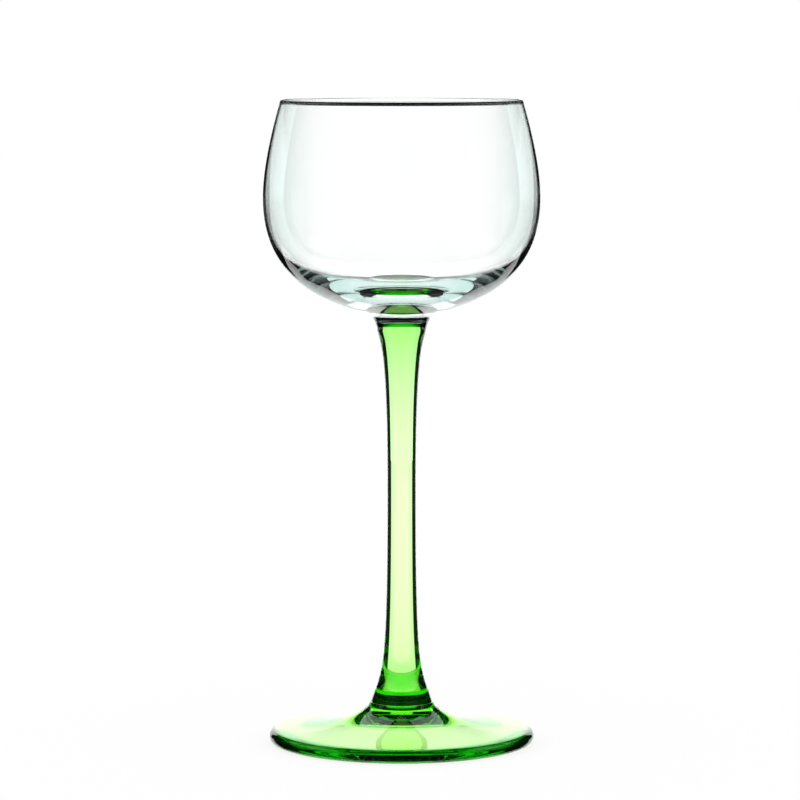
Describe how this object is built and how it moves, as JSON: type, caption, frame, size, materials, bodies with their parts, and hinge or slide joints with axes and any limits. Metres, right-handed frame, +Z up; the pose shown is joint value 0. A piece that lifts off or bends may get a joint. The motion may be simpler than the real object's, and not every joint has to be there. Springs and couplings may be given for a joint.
{
  "type": "alsace wine glass",
  "caption": "Stemmed wine glass: a round clear blown bowl that draws in at the rim, on a tall waisted solid green stem and a broad round green foot.",
  "frame": {"origin": "centre of the circle that the foot rests on, on the table plane", "axes": "+Z up along the stem's axis; X and Y are alike, because the glass is round"},
  "size_m": [0.0772, 0.0772, 0.18],
  "materials": {
    "clear_glass": "clear polished blown glass",
    "green_glass": "clear polished glass tinted yellow-green through its whole thickness"
  },
  "bodies": {
    "root": {"bowl": "clear_glass", "stem": "green_glass", "foot": "green_glass"}
  },
  "joints": []
}
